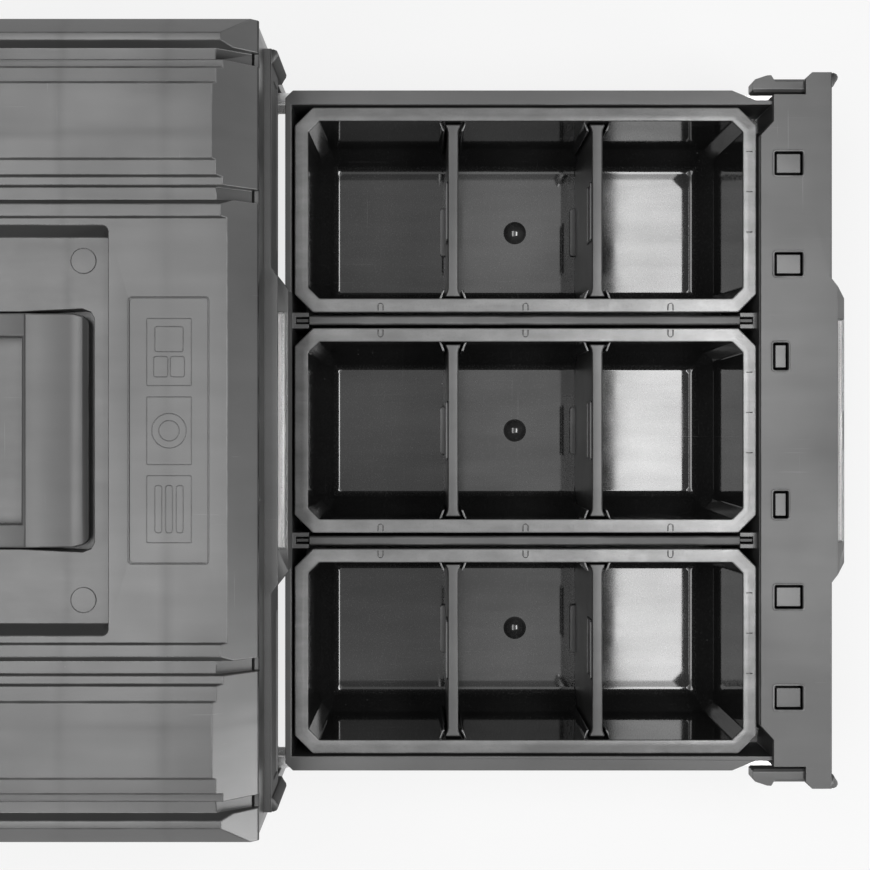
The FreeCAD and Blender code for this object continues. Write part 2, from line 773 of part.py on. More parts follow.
def hook_pins(level):
    high = FRONT_HIGH[level]
    spot_x, spot_y = hook_pivot()
    place = spot_y - travel if level == "lower" else spot_y
    pins = []
    for name, side in (("left", -1), ("right", 1)):
        pins.append(cylinder("%s_%s_hook_pin" % (level, name), size("pivot_radius") - 1,
                             (side * spot_x, place), high - 21.4, high - 1.6, "Z"))
    return group(level + "_hook_pins", pins)


def corner_bracket(label, side, level):
    piece = Piece(label)
    inner = tray_inner
    nose = tray_face - 9.5
    strap = [(inner, nose + 20), (inner, nose), (inner - 11, nose), (inner - 11, nose + 1.2),
             (inner - 5, nose + 1.2), (inner - 1.2, nose + 6.5), (inner - 1.2, nose + 20)]
    middle = (tray_high(level) + tray_low(level)) / 2
    piece.add("XY", middle, middle + 18, [(side * a, b) for a, b in strap])
    return piece.shift(-travel) if level == "lower" else piece.body


def corner_brackets(level):
    left = corner_bracket(level + "_left_corner_bracket", -1, level)
    right = corner_bracket(level + "_right_corner_bracket", 1, level)
    return group(level + "_corner_brackets", [left, right])


def partition(label, side, level):
    piece = Piece(label)
    place = side * bin_pitch / 2
    floor = tray_low(level) + size("tray_skin")
    rim = rim_level(level)
    face = tray_face
    rear = tray_rear - size("tray_back")
    piece.add("XZ", face + 2.7, rear - 2.7, box(place - 1.2, place + 1.2, floor, rim - 5))
    bead = [(place - 3.3, rim - 5.5), (place + 3.3, rim - 5.5), (place + 3.3, rim - 2.6),
            (place + 2.2, rim - 1.6), (place - 2.2, rim - 1.6), (place - 3.3, rim - 2.6)]
    piece.add("XZ", face + 12.4, rear - 12.4, bead)
    return piece.shift(-travel) if level == "lower" else piece.body


# Bins and dividers

def bin_frame(level, slot):
    """Middle of a bin and the levels of its rim and its floor."""
    middle = slot * bin_pitch
    seat = tray_low(level) + size("tray_skin")
    return middle, bin_middle, rim_level(level), seat


def divider_places():
    return bin_middle - divider_pitch / 2, bin_middle + divider_pitch / 2


def storage_bin(label, slot, level):
    piece = Piece(label)
    middle, along, rim, seat = bin_frame(level, slot)
    half_x = bin_width / 2
    half_y = bin_length / 2
    corner = size("bin_corner")
    border = size("bin_rim")
    skin = size("bin_wall")
    floor = seat + size("bin_floor")
    draft = size("bin_draft")
    chamfer = size("bin_chamfer")
    toe = size("bin_toe")
    knee = floor + size(level + "_toe_height")
    cut = corner - 5

    def shell(inset):
        """The tub's outline, set in from the opening in the rim."""
        return octagon(middle, along, half_x - border - inset, half_y - border - inset, cut)

    piece.add("XY", seat, knee, shell(draft - skin))
    piece.loft("AdditiveLoft", [(knee, shell(draft - skin)), (rim - 1, shell(-skin))])
    piece.add("XY", rim - 3.4, rim, octagon(middle, along, half_x, half_y, corner))
    piece.loft("SubtractiveLoft", [(knee, shell(draft)), (rim + 0.01, shell(dim(0)))])
    piece.cut("XY", floor, knee, shell(draft))

    reach_x = half_x - border - draft
    reach_y = half_y - border - draft
    walls = (("XZ", middle, along, reach_x, reach_y), ("YZ", along, middle, reach_y, reach_x))
    for plane, centre, across, reach, span in walls:
        slope = [(reach + 0.1, floor - 0.5), (reach - toe - chamfer, floor - 0.5),
                 (reach - toe - chamfer, floor), (reach - toe, floor + chamfer),
                 (reach, knee), (reach + 0.1, knee)]
        end = span - cut / 2 + 0.2
        piece.add(plane, across - end, across + end, *either_side(centre, slope))
    for plane, centre, across, reach, span in walls:
        outer = reach + skin
        shaving = [(outer - toe, seat - 0.5), (outer - toe, seat), (outer, knee),
                   (outer + 1, knee), (outer + 1, seat - 0.5)]
        end = span + skin + 1
        piece.cut(plane, across - end, across + end, *either_side(centre, shaving))

    guides = []
    for place in divider_places():
        for end in (1, -1):
            face = middle + end * (half_x - border)
            for turn in (1, -1):
                tip = face - end * 6.5
                root = face + end * 0.1
                guides.append([(tip, place + turn * 5.9), (root, place + turn * 8.4),
                               (root, place + turn * 10), (tip, place + turn * 7.5)])
    piece.add("XY", knee, rim - 4, *guides)
    if level == "lower":
        dome = floor + 4
        piece.add("XY", floor - 0.5, dome, ring(middle, along, dim(8), 12))

        def dome_edge(point, edge):
            return abs(point.z - dome.number) < 0.01 and edge.Length < 6

        piece.ease("Chamfer", 2.6, dome_edge)
    return piece.shift(-travel) if level == "lower" else piece.body


def divider(label, slot, level, end):
    piece = Piece(label)
    middle, along, rim, seat = bin_frame(level, slot)
    place = divider_places()[end]
    floor = seat + size("bin_floor") + 0.6
    top = rim - 3.6
    knee = seat + size("bin_floor") + size(level + "_toe_height")
    half = bin_width / 2 - size("bin_rim") - size("divider_gap")
    bend = half - size("bin_draft")
    foot = bend - size("bin_toe")
    thick = size("divider_thick") / 2
    ease = size("bin_chamfer") + 1.5

    def across(points):
        return [(middle + a, b) for a, b in points]

    plate = both_halves([(half, top), (bend, knee), (foot, floor + ease), (foot - ease, floor)])
    piece.add("XZ", place - thick, place + thick, across(plate))
    tongue = [(half, top), (half - 5, top), (bend - 5, knee), (foot - 5, floor + ease),
              (foot, floor + ease), (bend, knee)]
    flip = [(-a, b) for a, b in tongue]
    piece.add("XZ", place - thick - 1.6, place + thick + 1.6, across(tongue), across(flip))
    core = both_halves([(half - 2.2, top - 2.6), (bend - 2.2, knee), (foot - 2.2, floor + ease),
                        (foot - ease - 2, floor - 1)])
    piece.cut("XZ", place - thick + 1.8, place + thick - 1.8, across(core))
    piece.add("XY", floor, floor + 4, box(middle - 19, middle + 19, place + thick - 0.5, place + thick + 4))
    piece.add("XZ", place + thick - 0.5, place + thick + 1.1,
              across(box(-dim(21.5), dim(21.5), top - 24, top - 3)),
              across(box(-dim(19.9), dim(19.9), top - 22.4, top - 4.6)))
    return piece.shift(-travel) if level == "lower" else piece.body


SLOTS = {"left": -1, "centre": 0, "right": 1}
SIDES = {"left": -1, "right": 1}
nodes = [base_panel(), back_panel(), top_cover(), carry_handle(), handle_pins()]
for name, side in SIDES.items():
    nodes.append(side_panel(name + "_side_panel", side))
for level in ("lower", "upper"):
    nodes += [drawer_tray(level), drawer_front(level), label_window(level), label_card(level),
              hook_pins(level), corner_brackets(level)]
    for name, side in SIDES.items():
        for stage in ("outer", "middle", "inner"):
            nodes.append(rail("%s_%s_%s_rail" % (level, name, stage), side, level, stage))
        nodes.append(catch_hook("%s_%s_hook" % (level, name), side, level))
        nodes.append(partition("%s_%s_partition" % (level, name), side, level))
    for name, slot in SLOTS.items():
        nodes.append(storage_bin("%s_%s_bin" % (level, name), slot, level))
        pair = [divider("%s_%s_%s_divider" % (level, name, end), slot, level, index)
                for index, end in enumerate(("front", "rear"))]
        if level == "lower":
            nodes += pair
        else:
            nodes.append(group("%s_%s_dividers" % (level, name), pair))

doc.recompute()
for item in doc.Objects:
    if "Invalid" in item.State or "Error" in item.State:
        raise RuntimeError("%s does not build: %s" % (item.Label, item.State))

faulty = [node.Label for node in nodes if node.Shape.isNull() or not node.Shape.isValid()]
if faulty:
    raise RuntimeError("no valid shape: " + ", ".join(faulty))

os.makedirs("parts", exist_ok=True)
for node in nodes:
    node.Shape.exportStep("parts/%s.step" % node.Label)
    print(node.Label, len(node.Shape.Solids), round(node.Shape.Volume / 1000, 1))
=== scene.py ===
import json
from collections import namedtuple
from math import cos, pi, radians, sin, tan

import bmesh
import bpy
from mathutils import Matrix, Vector

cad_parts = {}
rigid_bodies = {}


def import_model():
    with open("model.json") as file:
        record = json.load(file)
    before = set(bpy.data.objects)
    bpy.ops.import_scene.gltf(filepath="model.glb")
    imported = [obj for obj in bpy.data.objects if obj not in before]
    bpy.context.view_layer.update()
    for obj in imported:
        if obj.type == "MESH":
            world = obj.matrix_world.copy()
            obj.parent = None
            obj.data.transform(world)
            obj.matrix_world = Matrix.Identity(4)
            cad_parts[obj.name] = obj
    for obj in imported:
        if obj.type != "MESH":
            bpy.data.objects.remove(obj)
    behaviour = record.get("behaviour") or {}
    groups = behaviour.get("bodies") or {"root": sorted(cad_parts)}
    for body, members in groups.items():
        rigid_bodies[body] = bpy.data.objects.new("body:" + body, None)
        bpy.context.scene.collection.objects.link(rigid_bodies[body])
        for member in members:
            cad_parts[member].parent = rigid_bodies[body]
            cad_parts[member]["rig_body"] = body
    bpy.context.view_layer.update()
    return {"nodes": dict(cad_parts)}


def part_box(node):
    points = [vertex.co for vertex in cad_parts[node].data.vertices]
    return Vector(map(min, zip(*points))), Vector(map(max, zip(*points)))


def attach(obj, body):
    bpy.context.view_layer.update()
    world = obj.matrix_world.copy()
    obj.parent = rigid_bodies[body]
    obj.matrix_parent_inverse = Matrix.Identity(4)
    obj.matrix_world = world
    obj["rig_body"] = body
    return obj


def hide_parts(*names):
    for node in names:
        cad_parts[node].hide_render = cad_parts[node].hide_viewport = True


# Looks of a modular tool box with two drawers, in metres, in the frame of the solids.
# +Z is up, the drawers pull out towards -Y. The lower drawer stands open.

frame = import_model()
nodes = frame["nodes"]
MM = 0.001


# Node graphs

class Graph:
    """A material's node tree, with the few node kinds that the finishes share."""

    def __init__(self, name):
        self.material = bpy.data.materials.new(name)
        self.material.use_nodes = True
        self.tree = self.material.node_tree
        self.shader = self.tree.nodes["Principled BSDF"]
        self.place = self.node("ShaderNodeTexCoord").outputs["Object"]

    def node(self, kind, **settings):
        item = self.tree.nodes.new(kind)
        for key, value in settings.items():
            setattr(item, key, value)
        return item

    def link(self, source, target):
        self.tree.links.new(source, target)

    def stretched(self, stretch, turn=0.0):
        """Object coordinates scaled along each axis, after a turn about Z."""
        item = self.node("ShaderNodeMapping")
        item.inputs["Scale"].default_value = stretch
        item.inputs["Rotation"].default_value = (0, 0, turn)
        self.link(self.place, item.inputs["Vector"])
        return item.outputs["Vector"]

    def noise(self, scale, detail=2.0, place=None):
        item = self.node("ShaderNodeTexNoise")
        item.inputs["Scale"].default_value = scale
        item.inputs["Detail"].default_value = detail
        self.link(place or self.place, item.inputs["Vector"])
        return item.outputs["Fac"]

    def specks(self, scale, size):
        """Small round spots, one in each cell of a Voronoi pattern."""
        item = self.node("ShaderNodeTexVoronoi")
        item.inputs["Scale"].default_value = scale
        self.link(self.place, item.inputs["Vector"])
        return self.span(item.outputs["Distance"], size, 0.0)

    def span(self, value, low, high, to_low=0.0, to_high=1.0):
        """The value brought from one range to another and held inside it."""
        item = self.node("ShaderNodeMapRange")
        for key, number in (("From Min", low), ("From Max", high), ("To Min", to_low), ("To Max", to_high)):
            item.inputs[key].default_value = number
        self.link(value, item.inputs["Value"])
        return item.outputs["Result"]

    def sum(self, first, second):
        item = self.node("ShaderNodeMath", operation="ADD")
        self.link(first, item.inputs[0])
        self.link(second, item.inputs[1])
        return item.outputs["Value"]

    def product(self, first, second):
        """Two values multiplied, and held between nothing and one."""
        item = self.node("ShaderNodeMath", operation="MULTIPLY", use_clamp=True)
        self.link(first, item.inputs[0])
        self.link(second, item.inputs[1])
        return item.outputs["Value"]

    def blend(self, factor, first, second):
        """A mix of two colours, each a socket or a colour."""
        item = self.node("ShaderNodeMix", data_type="RGBA")
        self.link(factor, item.inputs[0])
        for value, socket in ((first, item.inputs[6]), (second, item.inputs[7])):
            if isinstance(value, tuple):
                socket.default_value = value
            else:
                self.link(value, socket)
        return item.outputs[2]

    def stripe(self, axis, place, half):
        """One on a plane across an axis, fading to nothing at half a width from it."""
        parts = self.node("ShaderNodeSeparateXYZ")
        self.link(self.place, parts.inputs[0])
        away = self.node("ShaderNodeMath", operation="SUBTRACT")
        self.link(parts.outputs[axis], away.inputs[0])
        away.inputs[1].default_value = place
        size = self.node("ShaderNodeMath", operation="ABSOLUTE")
        self.link(away.outputs["Value"], size.inputs[0])
        return self.span(size.outputs["Value"], half, 0)

    def mark(self, name):
        """A number that a mesh keeps on each face."""
        return self.node("ShaderNodeAttribute", attribute_name=name).outputs["Fac"]

    def bump(self, height, strength, distance, under=None):
        item = self.node("ShaderNodeBump")
        item.inputs["Strength"].default_value = strength
        item.inputs["Distance"].default_value = distance
        self.link(height, item.inputs["Height"])
        if under:
            self.link(under, item.inputs["Normal"])
        return item.outputs["Normal"]

    def give(self, **sockets):
        """Links sockets, or sets constants, on the shader's own inputs."""
        for name, value in sockets.items():
            socket = self.shader.inputs[name.replace("_", " ")]
            if hasattr(value, "node"):
                self.link(value, socket)
            else:
                socket.default_value = value
        return self.material


# Finishes

# A second finish for faces marked matte_and_painted_light. Its tone is painted light and shade: much lighter
# on the lit bin rims as painted light, darker as painted shade on the upright sides of fronts and trays and
# in the cover's recess, and darker on the partitions; its gloss is a real rougher finish. Rub is how unevenly
# its colour and sheen are rubbed. Shift moves the change of sheen, of which only what is above zero shows.
Texture = namedtuple("Texture", "tone gloss rub shift")
PLASTIC_IOR = 1.5
GRAIN_DEPTH = 0.2 * MM


def grey(tone, warmth=0.0):
    return (tone * (1 + warmth), tone, tone * (1 - warmth), 1.0)


def scratches(graph, wear):
    """Fine scratches in two directions, more of them where wear is higher."""
    lines = graph.noise(1, 3, graph.stretched((900, 14, 60), 0.35))
    crossing = graph.noise(1, 3, graph.stretched((16, 700, 60), -0.2))
    return graph.sum(graph.span(lines, 0.73 - wear, 0.78 - wear, 0, 0.4),
                     graph.span(crossing, 0.74 - wear, 0.79 - wear, 0, 0.4))


def wear_and_highlight_patches(graph):
    """Patches of lightening on the faces marked wear_and_highlight: partly rubbing wear, partly painted
    highlight along edges and ridges.
    """
    patchy = graph.span(graph.noise(40, 3), 0.42, 0.62, 0.1, 0.6)
    return graph.product(graph.mark("wear_and_highlight"), patchy)


def dust(graph):
    """Sparse specks, gathered in patches."""
    return graph.product(graph.specks(70, 0.05), graph.span(graph.noise(11, 2), 0.6, 0.66))


def moulded(name, tone, gloss, warp=0.3 * MM, speckle=0.0, matte_and_painted_light=None, sinks=(), seam_shades=(), grit=0.05,
            wear=0.0):
    """Moulded plastic: clouded colour and sheen, a second finish whose tone is painted light and shade,
    scratches, dust, edges lightened as wear and painted highlight, and sink marks.

    Warp is the depth of its slow unevenness, speckle the strength of pale flecks and grit that of the grain.
    Sinks and painted shade lines are stripes, each an axis, a place and a half width; a shade line is
    near-black painted shade of the groove along a parting line.
    """
    graph = Graph(name)
    scuffed = grey(tone * 2 + 0.05)
    cloud = graph.span(graph.noise(9, 4), 0.3, 0.7)
    colour = graph.blend(cloud, grey(tone * 0.85), grey(tone * 1.15))
    rough = graph.span(graph.noise(23, 3), 0.3, 0.7, gloss - 0.02, gloss + 0.03)
    flow = graph.noise(1, 4, graph.stretched((70, 9, 30)))
    sheen = graph.sum(graph.span(graph.noise(7, 3), 0.3, 0.7, 0.36, 0.56),
                      graph.span(flow, 0.3, 0.7, 0, 0.08))
    fine = graph.noise(900, 2)
    grain = fine
    # On marked faces the colour turns to the second finish's tone: painted light on bin rims, painted shade
    # on upright sides and in the cover's recess.
    if matte_and_painted_light:
        marked = graph.mark("matte_and_painted_light")
        smear = graph.span(graph.noise(1, 4, graph.stretched((90, 30, 30))), 0.35, 0.7)
        second = graph.blend(smear, grey(matte_and_painted_light.tone * (0.9 - matte_and_painted_light.rub)),
                             grey(matte_and_painted_light.tone * (1.1 + matte_and_painted_light.rub)))
        colour = graph.blend(marked, colour, second)
        rough = graph.sum(rough, graph.span(marked, 0, 1, 0, matte_and_painted_light.gloss - gloss))
        rubbed = graph.span(graph.noise(130, 5), 0.35, 0.65, matte_and_painted_light.shift - matte_and_painted_light.rub, matte_and_painted_light.shift + matte_and_painted_light.rub)
        sheen = graph.sum(sheen, graph.product(rubbed, marked))
        grain = graph.product(fine, marked) if speckle else fine
    for axis, place, half in sinks:
        uneven = graph.span(graph.noise(14, 3), 0.35, 0.65, 0.3, 1)
        sink = graph.product(graph.stripe(axis, place, half), uneven)
        sheen = graph.sum(sheen, graph.span(sink, 0, 1, 0, -0.1))
    # Painted shade: a near-black stripe with no sheen stands in for the shadow in the groove along a parting
    # line.
    for axis, place, half in seam_shades:
        seam_shade = graph.stripe(axis, place, half)
        colour = graph.blend(seam_shade, colour, grey(tone * 0.1))
        sheen = graph.sum(sheen, graph.span(seam_shade, 0, 1, 0, -0.5))
    if speckle:
        colour = graph.blend(graph.span(fine, 0.54, 0.76, 0, speckle), colour, scuffed)
    colour = graph.blend(scratches(graph, wear), colour, scuffed)
    # Painted highlight and wear: marked edges, ridges and borders are lightened.
    colour = graph.blend(wear_and_highlight_patches(graph), colour, grey(tone * 1.8 + 0.02))
    colour = graph.blend(dust(graph), colour, grey(0.4))
    swell = graph.bump(graph.noise(9, 1), 1.0, warp)
    surface = graph.bump(grain, grit, GRAIN_DEPTH, swell)
    return graph.give(Base_Color=colour, Roughness=rough, Specular_IOR_Level=sheen, Normal=surface,
                      IOR=PLASTIC_IOR)


def zinc(name, tone):
    """Bright zinc on cold-rolled steel: spangles and long drawing lines."""
    graph = Graph(name)
    spangle = graph.span(graph.noise(160, 2), 0.35, 0.65)
    colour = graph.blend(spangle, grey(tone * 0.86), grey(tone * 1.05))
    drawn = graph.noise(1, 4, graph.stretched((60, 6, 2600)))
    rough = graph.span(drawn, 0.3, 0.7, 0.2, 0.36)
    smudge = graph.span(graph.noise(30, 4), 0.55, 0.75, 0, 0.4)
    colour = graph.blend(smudge, colour, grey(tone * 0.55, 0.02))
    return graph.give(Base_Color=colour, Roughness=rough, Metallic=1.0,
                      Normal=graph.bump(drawn, 0.12, 0.1 * MM))


def clear(name):
    """Clear styrene with fine rubbing marks."""
    graph = Graph(name)
    rubbed = graph.noise(1, 3, graph.stretched((40, 500, 500)))
    rough = graph.span(rubbed, 0.35, 0.75, 0.03, 0.22)
    haze = graph.span(graph.noise(50, 3), 0.4, 0.7)
    colour = graph.blend(haze, grey(0.97), grey(0.9))
    return graph.give(Base_Color=colour, Roughness=rough, Transmission_Weight=1.0, IOR=1.49,
                      Normal=graph.bump(rubbed, 0.06, 0.1 * MM))


def card(name):
    """White card with a faint fibre."""
    graph = Graph(name)
    fibre = graph.noise(1, 4, graph.stretched((300, 1300, 1300)))
    colour = graph.blend(graph.span(fibre, 0.3, 0.7), grey(0.74, 0.01), grey(0.86))
    rough = graph.span(fibre, 0.3, 0.7, 0.75, 0.9)
    return graph.give(Base_Color=colour, Roughness=rough, Normal=graph.bump(fibre, 0.2, 0.1 * MM))


# Ribs under the cover leave these faint marks, and along its apron's parting line a near-black stripe is
# painted shade of the groove: axis, place, half width
COVER_SINKS = (("Y", -77 * MM, 5 * MM), ("Y", -143 * MM, 6 * MM), ("Y", 40 * MM, 6 * MM),
               ("X", 187 * MM, 5 * MM), ("X", -187 * MM, 5 * MM))
APRON_SEAM_SHADE = ("Y", -199.6 * MM, 0.9 * MM)

# The second finishes paint light and shade: bin rims much lighter than the near-black tubs as painted light
# on the lit tops; the cover's recess and the upright sides of fronts and trays darker as painted shade; the
# partitions darker.
FINISHES = {
    "case_plastic": moulded("case_plastic", 0.04, 0.3, matte_and_painted_light=Texture(0.035, 0.32, 0.02, 0),
                            sinks=COVER_SINKS, seam_shades=(APRON_SEAM_SHADE,)),
    "handle_plastic": moulded("handle_plastic", 0.04, 0.36),
    "front_plastic": moulded("front_plastic", 0.052, 0.44, matte_and_painted_light=Texture(0.025, 0.75, 0.03, -0.3), wear=0.03),
    "tray_plastic": moulded("tray_plastic", 0.045, 0.36, matte_and_painted_light=Texture(0.03, 0.5, 0.03, 0)),
    "hook_plastic": moulded("hook_plastic", 0.045, 0.38),
    "bin_plastic": moulded("bin_plastic", 0.012, 0.05, warp=0.06 * MM, speckle=0.4,
                           matte_and_painted_light=Texture(0.105, 0.24, 0.13, 0), grit=0.2, wear=0.03),
    "divider_plastic": moulded("divider_plastic", 0.024, 0.36, warp=0.1 * MM),
    "clear_plastic": clear("clear_plastic"),
    "label_card": card("label_card"),
    "zinc_steel": zinc("zinc_steel", 0.7),
    "pin_steel": zinc("pin_steel", 0.5),
}
SLOT_BY_ENDING = (
    ("carry_handle", "handle_plastic"), ("_front", "front_plastic"), ("_tray", "tray_plastic"),
    ("_partition", "tray_plastic"), ("_hook", "hook_plastic"), ("_bin", "bin_plastic"),
    ("_divider", "divider_plastic"), ("_dividers", "divider_plastic"), ("_window", "clear_plastic"),
    ("_card", "label_card"), ("_rail", "zinc_steel"), ("_brackets", "zinc_steel"), ("_pins", "pin_steel"),
    ("_panel", "case_plastic"), ("top_cover", "case_plastic"),
)


def slot_of(node):
    """The record's material slot of a node, from the end of its name."""
    for ending, slot in SLOT_BY_ENDING:
        if node.endswith(ending):
            return slot
    raise KeyError(node)


# Meshes

def piece_from(name, work, body, slot, *replaced):
    """Turns a finished bmesh into a smooth-shaded piece that rides on a body."""
    mesh = bpy.data.meshes.new(name)
    bmesh.ops.recalc_face_normals(work, faces=work.faces)
    work.to_mesh(mesh)
    work.free()
    mesh.polygons.foreach_set("use_smooth", [True] * len(mesh.polygons))
    piece = bpy.data.objects.new(name, mesh)
    bpy.context.scene.collection.objects.link(piece)
    mesh.materials.append(FINISHES[slot])
    weighted = piece.modifiers.new("even_shading", "WEIGHTED_NORMAL")
    weighted.keep_sharp = True
    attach(piece, body)
    if replaced:
        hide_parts(*replaced)
    return piece


def octagon(half_x, half_y, corner, radius, steps=4):
    """An octagon about the origin with every corner turned into a short arc."""
    corners = []
    for side, end in ((1, 1), (-1, 1), (-1, -1), (1, -1)):
        pair = [Vector((side * half_x, end * (half_y - corner))),
                Vector((side * (half_x - corner), end * half_y))]
        corners += pair if side * end > 0 else pair[::-1]
    points = []
    for index, corner_point in enumerate(corners):
        before = corners[index - 1] - corner_point
        after = corners[(index + 1) % len(corners)] - corner_point
        reach = min(radius * tan(pi / 8), 0.45 * min(before.length, after.length))
        for step in range(steps + 1):
            share = step / steps
            points.append(corner_point + before.normalized() * reach * (1 - share) ** 2
                          + after.normalized() * reach * share ** 2)
    return points


def circle(radius, steps):
    turns = [2 * pi * step / steps for step in range(steps)]
    return [Vector((radius * cos(turn), radius * sin(turn))) for turn in turns]


def skin(work, rings):
    """Joins rings of points into a closed skin with capped ends, and returns the rows of faces."""
    rings = [[work.verts.new(point) for point in ring] for ring in rings]
    count = len(rings[0])
    rows = []
    for first, second in zip(rings, rings[1:]):
        rows.append([work.faces.new((first[i], first[(i + 1) % count], second[(i + 1) % count], second[i]))
                     for i in range(count)])
    work.faces.new(rings[0][::-1])
    work.faces.new(rings[-1])
    return rows


def loft(work, middle, levels):
    """Skins a stack of level outlines, each a height and its points."""
    return skin(work, [[(middle[0] + p.x, middle[1] + p.y, height) for p in points]
                       for height, points in levels])


def prism(work, points, low, high, ease=0.5 * MM):
    """An upright blade with a narrowed top edge."""
    middle = sum(points, Vector((0, 0))) / len(points)
    drawn_in = [middle + (p - middle) * (1 - ease / max((p - middle).length, ease)) for p in points]
    loft(work, (0, 0), [(low, points), (high - ease, points), (high, drawn_in)])


BEAD_POINTS = 6
BEAD_SINK = 0.3


def bead(work, path, radius, closed=False):
    """A low half-round ridge along a path on a level face, sunk by a share of its radius."""
    count = len(path)
    rings = []
    for index, point in enumerate(path):
        after = path[(index + 1) % count] if closed or index < count - 1 else point
        before = path[index - 1] if closed or index > 0 else point
        along = (after - before).normalized()
        sideways = Vector((along.y, -along.x, 0))
        turns = [pi * step / (BEAD_POINTS - 1) for step in range(BEAD_POINTS)]
        rings.append([work.verts.new(point + sideways * radius * cos(turn)
                                     + Vector((0, 0, radius * (sin(turn) - BEAD_SINK)))) for turn in turns])
    pairs = list(zip(rings, rings[1:])) + ([(rings[-1], rings[0])] if closed else [])
    for first, second in pairs:
        for step in range(BEAD_POINTS):
            turn = (step + 1) % BEAD_POINTS
            work.faces.new((first[step], first[turn], second[turn], second[step]))
    if not closed:
        work.faces.new(rings[0][::-1])
        work.faces.new(rings[-1])


def rounded_path(half_x, half_y, radius, middle, steps=5):
    """A closed level path: a rectangle with round corners."""
    path = []
    for index, (side, end) in enumerate(((1, 1), (-1, 1), (-1, -1), (1, -1))):
        for step in range(steps + 1):
            turn = pi / 2 * (index + step / steps)
            path.append(middle + Vector((side * (half_x - radius) + radius * cos(turn),
                                         end * (half_y - radius) + radius * sin(turn), 0)))
    return path


# Bins: the tub, its rim, the guides of the dividers and the marks on the rim

BIN_RIM = 9.9 * MM
BIN_WALL = 2.2 * MM
BIN_FLOOR = 2.4 * MM
BIN_DRAFT = 2 * MM
BIN_TOE = 8 * MM
BIN_FOOT = BIN_DRAFT + BIN_TOE
BIN_FILLET = 6.5 * MM
BIN_CORNER = 13 * MM
OPENING_CORNER = 8 * MM
FOOT_CORNER = 2 * MM
BIN_ROUND = 2.5 * MM
RIM_DEPTH = 3.4 * MM
RIM_STEP = 5 * MM
RIM_STEP_HEIGHT = 0.2 * MM
TOE_HEIGHT = {"lower": 27 * MM, "upper": 12 * MM}
DIVIDER_PITCH = 104.4 * MM
GUIDE_REACH = 6.5 * MM
GUIDE_THICK = 1.6 * MM
GUIDE_TIP = 5.9 * MM
GUIDE_ROOT = 8.4 * MM
GUIDE_SINK = 0.1 * MM
GUIDE_DROP = 4 * MM
# How much the guide blades and the boss are lightened: partly wear, partly painted highlight on their edges.
GUIDE_WEAR_AND_HIGHLIGHT = 0.8
# Share of the rim's lighter tone on the corner facets: painted light.
CORNER_PAINTED_LIGHT = 0.4
# How much a corner shrinks for each unit that the sides of an octagon move in
CORNER_SHRINK = 0.586
# Rows of faces of a bin, counted from its underside: rim (given the lighter tone as painted light), edges
# lightened as wear and painted highlight, wall, and the corners in that row (given part of the rim's painted
# light)
RIM_ROWS = slice(5, 12)
HIGHLIT_EDGE_ROWS = (6, 7, 11, 12)
WALL_ROW = 13
CORNER_FACETS = slice(4, None, 10)
# The boss in the floor of a lower bin, in millimetres: height and radius
BOSS_PROFILE = ((-0.5, 9.2), (0.25, 9.0), (0.5, 8.2), (1.4, 7.6), (2.8, 6.6), (3.9, 4.9), (4.6, 2.6),
                (4.8, 0.6))
BOSS_STEPS = 32
PEG_HALF = 1.8 * MM
PEG_REACH = 3.4 * MM
PEG_INSET = 1.2 * MM
PEG_LINE = 0.5 * MM
PEG_STEPS = 8
PEG_SIDES = {"left": (1,), "centre": (1, -1), "right": (-1,)}
TICK_PLACES = (-16 * MM, 13 * MM, 42 * MM)
TICK_LENGTH = 4.5 * MM
TICK_INSET = 3 * MM
TICK_LINE = 0.4 * MM


def bin_levels(low, rim, floor, knee, half_x, half_y):
    """The outlines of a bin, from its underside over the rim and down to its floor."""
    def tub(inset, cut=OPENING_CORNER):
        return octagon(half_x - BIN_RIM - inset, half_y - BIN_RIM - inset, cut, BIN_ROUND)

    def flange(inset):
        return octagon(half_x - inset, half_y - inset, BIN_CORNER - CORNER_SHRINK * inset, BIN_ROUND)

    outside = [(low, tub(BIN_FOOT - BIN_WALL + 1 * MM, FOOT_CORNER)),
               (low + 1 * MM, tub(BIN_FOOT - BIN_WALL, FOOT_CORNER)),
               (knee, tub(BIN_DRAFT - BIN_WALL)), (rim - RIM_DEPTH, tub(-BIN_WALL))]
    edge = [(rim - RIM_DEPTH, flange(0.4 * MM)), (rim - 3 * MM, flange(0)), (rim - 0.9 * MM, flange(0)),
            (rim - 0.4 * MM, flange(0.25 * MM)), (rim - RIM_STEP_HEIGHT, flange(0.9 * MM))]
    step = [(rim - RIM_STEP_HEIGHT, flange(RIM_STEP)), (rim, flange(RIM_STEP + 0.4 * MM)),
            (rim, tub(-0.8 * MM)), (rim - 0.2 * MM, tub(-0.25 * MM)), (rim - 0.8 * MM, tub(0))]
    inside = [(knee + 1.2 * MM, tub(BIN_DRAFT)), (knee - 0.4 * MM, tub(BIN_DRAFT + 0.2 * MM)),
              (knee - 1.6 * MM, tub(BIN_DRAFT + 0.7 * MM, OPENING_CORNER - 1 * MM))]
    bends = [radians(turn) for turn in range(75, -1, -15)]
    fillet = [(floor + BIN_FILLET * (1 - cos(bend)),
               tub(BIN_FOOT + BIN_FILLET * (1 - sin(bend)), FOOT_CORNER)) for bend in bends]
    return outside + edge + step + inside + fillet


